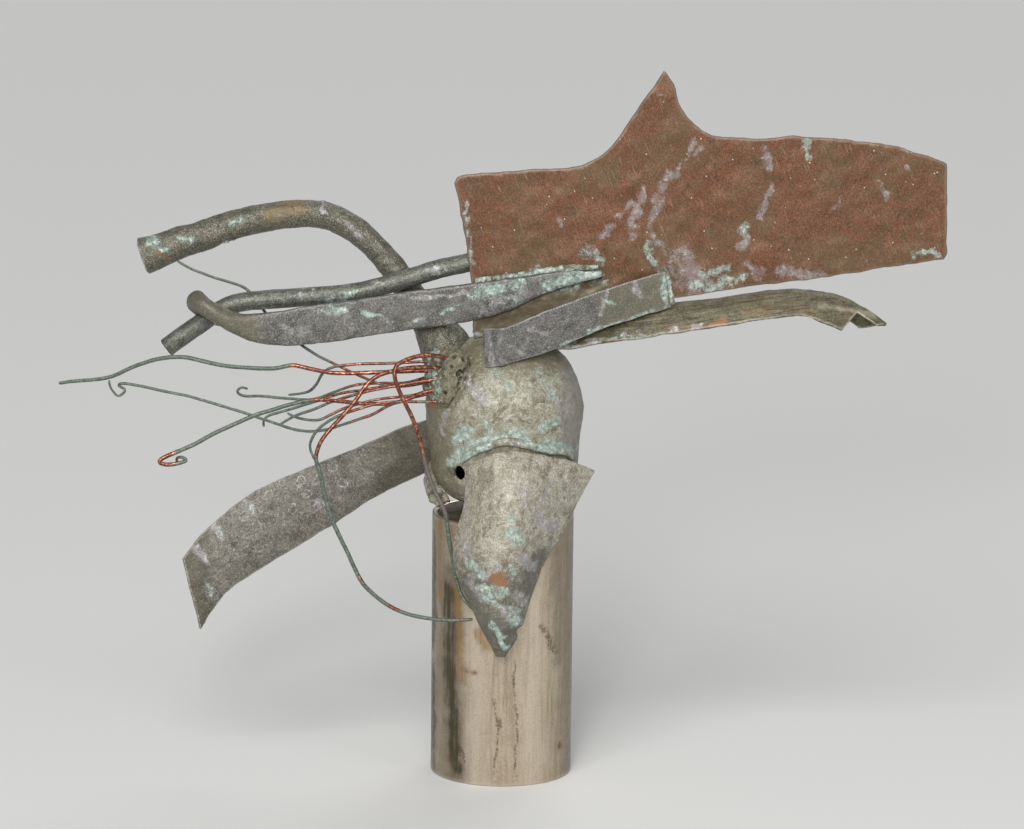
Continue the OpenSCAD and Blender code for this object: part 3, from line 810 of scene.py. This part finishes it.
def add_beak():
    beak = remeshed("beak", 0.7)
    beak.shake(14, 0.5, 81)
    p = beak.points
    beak.push(rough_noise(p, 18, 83, 2) * 0.5 + rough_noise(p, 6, 85, 3) * 0.22)
    notch = bell(p[:, 2] + 63, 2.6) * stepped(p[:, 0], 1, 7)
    beak.points[:, 0] -= 2.4 * notch
    beak.renew()
    p = beak.points
    front = stepped(-beak.normals[:, 1], -0.2, 0.3)
    beak.verdigris = 1.3 * front * strokes(p, [
        (6, 1, 10, -3, 4), (-20, -20, -14, -24, 3.6), (6, -19, 8, -23, 2.4), (-13, -34, 2, -36, 3.6),
        (-10, -40, -4, -44, 3), (8, -48, 9, -56, 3.8), (-6, -58, 0, -64, 2.6), (0, -66, 3, -72, 2),
        (4, 10, 8, 9, 1.6),
    ])
    beak.chalk = 1.2 * front * strokes(p, [
        (27, 3, 31, 0, 3.8), (-18, -20, -13, -26, 4), (12, -14, 18, -22, 3.4), (-24, -8, -22, -14, 2.6),
        (-24, 34, -24, 8, 1.4), (8, -38, 14, -44, 3), (8, 30, 16, 24, 1.4), (16, 24, 12, 17, 1.4),
        (30, 34, 20, 12, 1.2), (6, -48, 12, -58, 3), (-10, -26, -4, -20, 3), (-20, -30, -14, -40, 3),
        (0, -46, 4, -52, 2.6), (22, 10, 24, 4, 3),
    ])
    beak.copper = front * strokes(p, [(-4, -25, -1, -30, 4.8)], gaps=0)
    # Painted shade, darker towards the tip and over the lower part; the tip also gets darker crust
    shaded_tip = stepped(-p[:, 2], 48, 66)
    lower = stepped(-p[:, 2], -6, 34)
    sides = front * strokes(p, [(24, -14, 18, -38, 4), (-22, -34, -16, -48, 3)])
    beak.warm = shaded_tip + 0.52 * lower + 0.8 * sides
    beak.soot = 0.35 * shaded_tip + 0.4 * (1 - front)
    beak.finish("beak_bronze", beak_look())


# ---- tail plate, gutter, brace and wing


def edge_wear(piece):
    """1 along sharp edges and 0 on flat stretches, from how far neighbours' normals differ."""
    flat_angle, sharp_angle = 0.315, 0.81  # radians
    shape = bmesh.new()
    piece.write()
    shape.from_mesh(piece.mesh)
    bends = np.zeros(len(shape.verts))
    for v in shape.verts:
        angles = [v.normal.angle(e.other_vert(v).normal, 0.0) for e in v.link_edges]
        bends[v.index] = max(angles, default=0.0)
    shape.free()
    return stepped(bends, flat_angle, sharp_angle)


def plate_look():
    look = patina(
        "plate_patina",
        [(104, 81, 53), (121, 85, 56), (130, 86, 57), (137, 87, 58), (125, 92, 61), (105, 84, 54)],
        lumps=15.0, light=((144, 120, 100), 0.4), dark=((82, 64, 46), 0.45), bumps=0.04, contrast=0.24,
    )
    look.glaze(look.band(look.noise(38.0, 5.0, bend=0.4), 0.42, 0.62), 0.5, (106, 90, 62))
    look.blotch(6.0, 0.55, 0.68, 0.4, (98, 88, 68))
    look.blotch(9.0, 0.57, 0.7, 0.45, (132, 80, 56))
    for size, stretch, tilt, low, strength, colour in (
        (0.6, 18.0, -38.0, 0.59, 0.65, (78, 60, 42)),
        (0.7, 22.0, -22.0, 0.61, 0.55, (168, 138, 116)),
        (0.6, 14.0, 34.0, 0.61, 0.5, (82, 64, 45)),
    ):
        scratch = look.noise(size, 4.0, 0.6, stretch=(1, 1, stretch), tilt=tilt, bend=0.3)
        look.glaze(look.band(scratch, low, low + 0.08), strength, colour)
    graze = look.noise(0.7, 4.0, 0.62, stretch=(1, 1, 24), tilt=24.0)
    graze = look.times(look.band(graze, 0.55, 0.62), look.streak_and_painted_shade)
    look.glaze(graze, 0.85, (66, 56, 40))
    look.dust(look.warm, 0.85, (118, 112, 90), grain=1.5, cover=1.0, bite=3.0)
    look.speckle(0.6)
    specks = look.band(look.cells(7.0), 0.075, 0.045)
    look.glaze(specks, 0.8, (206, 202, 190))
    add_stains(look, verdigris=0.68, chalk=0.5, grain=1.2)
    look.glaze(look.wear, 0.5, (152, 142, 130))
    return look.done(metal=0.35, dull=0.6, shiny=0.4)


def add_plate():
    plate = remeshed("tail_plate", 1.1)
    plate.shake(11, 0.55, 91)
    p = plate.points
    p[:, 1] += rough_noise(p * (1, 0, 1), 70, 93, 2) * 0.35
    plate.push(rough_noise(p, 5, 95, 3) * 0.08)
    p = plate.points
    front = stepped(-plate.normals[:, 1], 0.1, 0.6)
    back = stepped(plate.normals[:, 1], 0.1, 0.6)
    plate.chalk = front * strokes(p, [
        (163, 208, 159, 190, 2.6), (149, 182, 147, 168, 2.8), (160, 230, 161, 222, 3.4),
        (100, 216, 90, 184, 3.2), (84, 204, 78, 176, 2.6), (90, 178, 100, 168, 3.6),
        (110, 162, 122, 146, 9), (100, 150, 134, 142, 8), (70, 190, 78, 196, 3), (116, 236, 104, 216, 2.2),
        (150, 158, 160, 152, 3.6), (172, 156, 196, 152, 4.2), (60, 176, 66, 184, 2),
        (232, 214, 238, 200, 1.5), (207, 203, 205, 196, 1.6), (246, 222, 254, 214, 1.6),
        (30, 190, 34, 182, 1.4), (120, 232, 118, 226, 1.8),
    ], waver=3.4) + 0.5 * back * stepped(rough_noise(p, 24, 97), 0.3, 0.9)
    plate.verdigris = front * strokes(p, [
        (50, 168, 58, 160, 4), (185, 236, 186, 226, 2.2), (40, 152, 60, 148, 3.6),
        (150, 186, 149, 178, 1.8), (88, 172, 94, 160, 3), (12, 146, 20, 152, 3.4), (24, 142, 48, 150, 4.4),
        (126, 146, 150, 150, 2.6), (96, 266, 97, 258, 1.2), (-24, 196, -21, 160, 1.2),
        (256, 168, 270, 166, 2), (124, 152, 140, 156, 2.6), (116, 148, 126, 144, 3),
    ], waver=3.4) + 0.55 * back * stepped(rough_noise(p, 30, 99), 0.35, 1.0)
    plate.warm = front * np.clip(1.6 * strokes(p, [(-24, 118, 20, 122, 16), (-10, 132, 60, 138, 7)]), 0, 1)
    lumps = plate.warm * (0.5 + 0.9 * rough_noise(p, 6, 98))
    plate.push(lumps.clip(0, 1.6))
    plate.wear = edge_wear(plate)
    plate.streak_and_painted_shade = 0.25 + 0.75 * strokes(p, [(228, 220, 246, 188, 12), (214, 212, 222, 196, 8)])
    plate.finish("plate_copper", plate_look())


def gutter_look():
    look = patina(
        "gutter_patina",
        [(100, 95, 71), (119, 113, 87), (132, 127, 101), (118, 109, 84)],
        lumps=10.0, light=((178, 176, 154), 0.4), dark=((82, 75, 55), 0.5), bumps=0.12,
    )
    lines = look.noise(1.0, 6.0, 0.64, stretch=(26, 1, 1), tilt=-9.0)
    look.mottle(look.band(lines, 0.32, 0.68), 0.7, 74, 176)
    look.glaze(look.band(lines, 0.57, 0.63), 0.25, (112, 82, 58))
    look.lift(lines, 0.3)
    reddish = look.times(look.warm, look.band(lines, 0.38, 0.58))
    look.glaze(reddish, 0.55, (122, 86, 64))
    look.glaze(look.streak_and_painted_shade, 0.45, (188, 184, 162))
    add_stains(look)
    look.glaze(look.wear, 0.65, (190, 186, 170))
    return look.done(metal=0.35, dull=0.62, shiny=0.4)


# What the CAD gutter has and the photo's doesn't: the near half of its far end
NEAR_CORNER = ((206, 116), (219, 130), (236.5, 119), (230, 100), (206, 100))


def add_gutter():
    gutter = remeshed("tail_gutter", 0.7, cuts=[NEAR_CORNER])
    gutter.shake(9, 0.5, 101)
    p = gutter.points
    along = np.stack([p[:, 0] / 12, p[:, 1], p[:, 2] - p[:, 0] * 0.16], axis=1)
    gutter.push(rough_noise(along, 2.2, 103, 3) * 0.22 + rough_noise(p, 16, 105, 2) * 0.3)
    gutter.renew()
    p = gutter.points
    near = stepped(-p[:, 1], -1, 6)
    gutter.warm = near * strokes(
        p, [(100, 120, 136, 124, 3), (214, 128, 222, 126, 4), (150, 132, 190, 134, 1.6)]
    )
    gutter.streak_and_painted_shade = strokes(p, [(196, 136, 232, 127, 1.6)]) * 0.9
    gutter.copper = 0.8 * near * strokes(
        p, [(30, 105, 40, 107, 2.0), (128, 124, 136, 124, 2.4), (64, 110, 74, 112, 1.6)]
    )
    low_edge = stepped(-p[:, 1], 9.5, 12) * stepped(rough_noise(p, 7, 107), -0.1, 0.5)
    gutter.chalk = low_edge * stepped(150 - p[:, 0], 0, 40)
    gutter.verdigris = 0.6 * near * strokes(p, [(64, 112, 100, 116, 1.8), (40, 108, 60, 108, 2)])
    gutter.wear = edge_wear(gutter)
    gutter.finish("gutter_bronze", gutter_look())


def strip_look():
    look = patina(
        "grey_patina",
        [(102, 100, 94), (118, 116, 111), (133, 131, 128), (119, 115, 107)],
        lumps=9.0, light=((178, 178, 173), 0.5), dark=((90, 86, 80), 0.5), bumps=0.12,
    )
    bloom = look.times(look.band(look.noise(12.0, 6.0, 0.66, bend=0.4), 0.48, 0.66), 0.55)
    look.dust(bloom, 0.75, (158, 157, 153), grain=0.8, cover=0.8)
    look.dust(look.warm, 0.75, (112, 108, 88), grain=1.6, cover=0.9, bite=2.6)
    look.speckle(0.6)
    add_stains(look)
    look.glaze(look.wear, 0.55, (186, 186, 180))
    return look.done(metal=0.35, dull=0.62, shiny=0.4)


def add_brace(material):
    brace = remeshed("brace_strip", 0.6)
    brace.shake(8, 0.3, 111)
    brace.push(rough_noise(brace.points, 5, 113, 3) * 0.16)
    p = brace.points
    brace.warm = stepped(p[:, 0] + (p[:, 2] - 125) * 0.3, 50, 74)
    brace.verdigris = strokes(p, [
        (52, 118, 92, 130, 2.2), (60, 140, 68, 136, 2.4), (97, 150, 100, 136, 2.4), (34, 112, 44, 114, 1.6),
    ])
    brace.chalk = strokes(p, [
        (64, 146, 60, 130, 2.2), (80, 150, 84, 140, 2), (98, 154, 100, 134, 1.8), (-10, 122, -8, 102, 2.4),
        (16, 124, 26, 120, 2), (4, 112, 12, 108, 1.6),
    ])
    brace.wear = edge_wear(brace)
    brace.finish("grey_strip", material)


def wing_look():
    look = patina(
        "wing_patina",
        [(95, 92, 84), (113, 109, 101), (130, 126, 117), (112, 107, 97)],
        lumps=9.0, light=((172, 168, 156), 0.45), dark=((88, 84, 70), 0.6), bumps=0.16,
    )
    cells = look.plus(look.cells(9.0), look.swing(look.noise(4.0, 6.0, 0.65), 1.1))
    some = look.band(look.noise(11.0, 3.0), 0.48, 0.6)
    look.glaze(look.times(look.crest(cells, 0.36, 0.09, 0.02), some), 0.28, (184, 180, 168))
    look.glaze(look.band(cells, 0.24, 0.1), 0.3, (158, 154, 142))
    look.dust(look.warm, 0.7, (84, 79, 62), grain=1.5, cover=0.9)
    look.speckle(0.6)
    add_stains(look)
    look.glaze(look.wear, 0.6, (182, 180, 168))
    return look.done(metal=0.35, dull=0.6, shiny=0.4)


def add_wing():
    wing = remeshed("wing_strip", 0.7)
    wing.shake(12, 0.5, 121)
    wing.push(rough_noise(wing.points, 6, 123, 3) * 0.25)
    wing.renew()
    p = wing.points
    wing.warm = stepped(p[:, 0], -96, -60) + 0.8 * stepped(-p[:, 0], 176, 196)
    circles = [
        (-132, 21), (-108, 22), (-148, 5), (-133, -4), (-124, 6), (-118, 14), (-140, 12), (-156, -14),
        (-128, 13), (-140, -8), (-112, 8), (-102, 12), (-150, -20), (-164, -8), (-170, -26), (-118, -2),
    ]
    pale = strokes(p, [
        (-162, -2, -156, -5, 4), (-182, -16, -177, -20, 3.6), (-194, -26, -186, -36, 3),
        (-120, 2, -112, 0, 2),
    ])
    wing.chalk = np.maximum(0.6 * rings(p, circles, 2.4), 0.8 * pale)
    wing.verdigris = 0.6 * strokes(
        p, [(-162, -3, -157, -5, 3), (-188, -50, -184, -56, 3), (-179, -17, -177, -19, 2.6)]
    )
    wing.wear = edge_wear(wing)
    wing.finish("wing_bronze", wing_look())


# ---- bar, rod and horn


def add_side_bar(material):
    side = remeshed("side_bar", 0.7)
    side.shake(9, 0.3, 131)
    loop = stepped(-side.points[:, 0], 168, 180)
    lumps = loop * rough_noise(side.points, 9, 135, 2) * 0.5
    side.push(rough_noise(side.points, 5, 133, 3) * 0.16 + lumps)
    side.renew()
    p = side.points
    front = stepped(-p[:, 1], 2, 5)
    side.verdigris = front * strokes(p, [
        (-18, 140, 12, 146, 5), (26, 146, 58, 154, 5), (2, 139, 10, 136, 2.4), (-116, 127, -100, 131, 2.6),
        (-40, 128, -30, 132, 1.8), (-88, 126, -74, 124, 1.6), (-60, 120, -50, 124, 1.4),
    ])
    side.chalk = front * strokes(
        p, [(-8, 134, 14, 142, 3), (-112, 126, -98, 130, 2), (-60, 136, -20, 140, 1.6)]
    )
    side.warm = stepped(-p[:, 0], 140, 172)
    side.wear = edge_wear(side) * stepped(p[:, 0], -160, -150)
    side.finish("grey_strip", material)


def rod_look():
    look = patina(
        "rod_patina",
        [(86, 87, 78), (104, 106, 97), (122, 124, 115), (106, 102, 90)],
        lumps=6.0, light=((178, 180, 172), 0.6), dark=((76, 74, 62), 0.55), bumps=0.18,
    )
    add_stains(look)
    return look.done(metal=0.4, dull=0.55, shiny=0.36)


def add_rod():
    rod = remeshed("long_rod", 0.6)
    rod.push(rough_noise(rod.points, 14, 141, 2) * 0.25 + rough_noise(rod.points, 3, 143, 3) * 0.12)
    p = rod.points
    patches = stepped(rough_noise(p, 9, 145), 0.5, 0.8)
    rod.verdigris = 0.6 * patches + strokes(p, [(-100, 137, -92, 138, 2.4)])
    rod.chalk = 0.7 * stepped(rough_noise(p, 9, 147), 0.4, 0.7)
    rod.soot = 0.6 * strokes(p, [(-212, 101, -205, 107, 5)])
    rod.finish("rod_bronze", rod_look())


def horn_look():
    look = patina(
        "horn_patina",
        [(78, 76, 62), (100, 98, 84), (122, 120, 107), (98, 92, 74), (138, 136, 124)],
        lumps=5.5, light=((190, 190, 176), 0.65), dark=((72, 68, 52), 0.65), bumps=0.28,
    )
    look.dust(look.warm, 0.6, (128, 108, 70), grain=1.3)
    add_stains(look)
    look.glaze(look.wear, 0.6, (190, 190, 176))
    return look.done(metal=0.4, dull=0.58, shiny=0.36)


def add_horn():
    horn = remeshed("horn", 0.7)
    p = horn.points
    torn = strokes(p, [(-176, 163, -168, 165, 3)])
    step = strokes(p, [(-116, 196, -113, 184, 1.8)])
    horn.push(
        rough_noise(p, 13, 151, 2) * 0.5 + rough_noise(p, 4.5, 153, 3) * 0.35
        + torn * rough_noise(p, 2, 155, 2) * 1.4 + step * 0.9
    )
    horn.renew()
    p = horn.points
    horn.verdigris = strokes(
        p, [(-223, 166, -212, 161, 3.4), (-203, 168, -198, 167, 3), (-172, 178, -166, 180, 2)]
    )
    horn.copper = strokes(p, [(-223, 172, -221, 170, 2), (-217, 158, -212, 155, 2)])
    # Pale chalk on the torn bit, partly a painted highlight there, on the raised step and on one more patch
    horn.chalk = 0.9 * strokes(
        p, [(-176, 164, -168, 166, 2.2), (-116, 194, -114, 186, 1.8), (-100, 178, -90, 170, 2)]
    )
    horn.warm = strokes(p, [(-146, 184, -128, 190, 7)])
    horn.wear = edge_wear(horn)
    horn.finish("horn_bronze", horn_look())


# ---- welds and wires

# Each bead: how far it is moved out, how lumpy it is and how much verdigris it has
WELDS = {
    "beak_weld": (-0.2, 0.35, 0.9),
    "plate_weld": (0.0, 0.7, 0.45),
    "bar_weld": (-0.4, 0.7, 0.9),
    "brace_weld": (0.0, 0.7, 0.9),
    "rod_weld": (0.0, 0.7, 0.45),
    "wing_weld": (0.0, 0.7, 0.45),
}


def add_welds(material, hub_material):
    for index, (name, (out, lumpy, green)) in enumerate(WELDS.items()):
        weld = remeshed(name, 0.45)
        p = weld.points
        weld.push(out + rough_noise(p, 4.5, 161 + index, 3) * lumpy + rough_noise(p, 1.5, 171, 2) * 0.2)
        weld.renew()
        weld.verdigris = green * stepped(rough_noise(p, 5, 181 + index), -0.5, 0.2)
        weld.chalk = 0.8 * stepped(rough_noise(p, 6, 191 + index), 0.2, 0.6)
        weld.finish("braze", hub_material if name == "beak_weld" else material)


def wire_look():
    look = Look("wire_patina")
    wave = look.noise(7.0, 5.0, 0.65)
    fine = look.noise(1.4, 5.0, 0.7)
    bare = look.band(look.plus(look.copper, look.swing(wave, 1.6)), 0.4, 0.6)
    green = look.ramp(look.band(fine, 0.3, 0.7), [(68, 76, 66), (90, 100, 89), (120, 131, 119)])
    bright = look.ramp(
        look.band(fine, 0.3, 0.7), [(86, 46, 38), (126, 72, 56), (172, 112, 86), (222, 172, 142)]
    )
    look.colour = look.blend(bare, green, bright)
    tarnish = look.times(look.band(look.noise(3.0, 5.0, 0.65), 0.44, 0.56), bare)
    look.glaze(tarnish, 0.75, (92, 50, 46))
    look.glaze(look.band(wave, 0.6, 0.7), 0.3, (132, 138, 128))
    look.glaze(look.streak_and_painted_shade, 0.6, (122, 92, 96))
    look.lift(fine, 0.16)
    metal = look.plus(look.times(bare, 0.5), 0.3)
    return look.done(metal, dull=0.5, shiny=0.34, gloss=bare)


# How far along -X each wire is bare copper: 1 up to the first value, 0 past the second
BARE_REACH = {
    "wire_long": (-122, -142), "wire_low": (-100, -140), "wire_hook": (-84, -110), "wire_curl": (-90, -120),
    "wire_branch": (-100, -122), "wire_inner": (-100, -130), "wire_fork": (-104, -132),
    "wire_spur": (-96, -130), "wire_bend": (-90, -118), "wire_horn": (-100, -122),
}


THICK_WIRES = ("wire_long", "wire_low", "wire_arc", "wire_drop")


def add_wires():
    material = wire_look()
    names = [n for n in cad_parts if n.startswith("wire_") and n != "wire_boss"]
    for index, name in enumerate(sorted(names)):
        thick = name in THICK_WIRES
        wire = subdivided(name, 2, 0.13 if thick else 0.09)
        kinks = [smooth_noise(wire.points, 9, 201 + 5 * index + k) for k in range(3)]
        wire.points += 0.25 * np.stack(kinks, axis=1)
        wire.push(rough_noise(wire.points, 2.2, 301, 2) * 0.06)
        p = wire.points
        if name in BARE_REACH:
            full, none = BARE_REACH[name]
            bare = 1 - stepped(-p[:, 0], -full, -none)
        else:
            bare = stepped(p[:, 2], 28, 62)
        if name == "wire_low":
            bare = np.maximum(bare, strokes(p, [(-214, 38, -206, 40, 6)]))
        if name == "wire_arc":
            bare = np.maximum(bare, strokes(p, [(-84, -28, -66, -46, 7)], gaps=0))
        wire.copper = bare * (1.0 if thick else 0.62)
        if name == "wire_drop":
            wire.streak_and_painted_shade = strokes(p, [(-50, 44, -38, 14, 6)])
        wire.finish("wire_copper", material)


# ---- floor and light

FLOOR = 12.0  # half the floor's width
SUN_SPREAD = math.radians(40)  # how wide the two soft suns are, for soft shadows


def add_floor():
    mesh = bpy.data.meshes.new("floor")
    corners = [(-FLOOR, -FLOOR, 0), (FLOOR, -FLOOR, 0), (FLOOR, FLOOR, 0), (-FLOOR, FLOOR, 0)]
    mesh.from_pydata(corners, [], [(0, 1, 2, 3)])
    floor = linked("floor", mesh)
    material = bpy.data.materials.new("floor")
    material.use_nodes = True
    shader = material.node_tree.nodes["Principled BSDF"]
    shader.inputs["Base Color"].default_value = (0.62, 0.62, 0.61, 1)
    shader.inputs["Roughness"].default_value = 0.9
    shader.inputs["Specular IOR Level"].default_value = 0.0
    mesh.materials.append(material)


def add_lamp(name, place, aim, size, watts, tint):
    data = bpy.data.lights.new(name, "AREA")
    data.shape = "DISK"
    data.size = size
    data.energy = watts
    data.color = tint
    lamp = linked(name, data)
    lamp.location = place
    lamp.rotation_euler = (Vector(aim) - Vector(place)).to_track_quat("-Z", "Y").to_euler()


def add_soft_sun(name, direction, strength):
    data = bpy.data.lights.new(name, "SUN")
    data.energy = strength
    data.angle = SUN_SPREAD
    sun = linked(name, data)
    sun.rotation_euler = Vector(direction).to_track_quat("-Z", "Y").to_euler()


def add_lights():
    middle = (0.0, 0.0, 0.2)
    add_lamp("key", (-0.25, -2.5, 1.2), middle, 0.5, 30, (1.0, 0.98, 0.95))
    add_lamp("fill", (1.8, -1.6, 0.9), middle, 0.8, 8, (0.95, 0.97, 1.0))
    add_soft_sun("sky", (0.2, 0.9, -0.9), 2.1)
    add_soft_sun("back_sky", (-0.3, -0.9, -0.9), 0.9)
    world = bpy.data.worlds.new("world")
    world.use_nodes = True
    background = world.node_tree.nodes["Background"]
    background.inputs["Color"].default_value = (0.85, 0.86, 0.87, 1)
    background.inputs["Strength"].default_value = 0.24
    bpy.context.scene.world = world
    bpy.context.scene.view_settings.view_transform = "Standard"


# ---- the whole vane

hub_material = hub_look()
boss_material = boss_look()
strip_material = strip_look()

add_post()
paint_bearing()
add_hub(hub_material)
add_lip(hub_material)
add_boss(boss_material)
add_beak()
add_plate()
add_gutter()
add_brace(strip_material)
add_wing()
add_side_bar(strip_material)
add_rod()
add_horn()
add_welds(boss_material, hub_material)
add_wires()
add_floor()
add_lights()
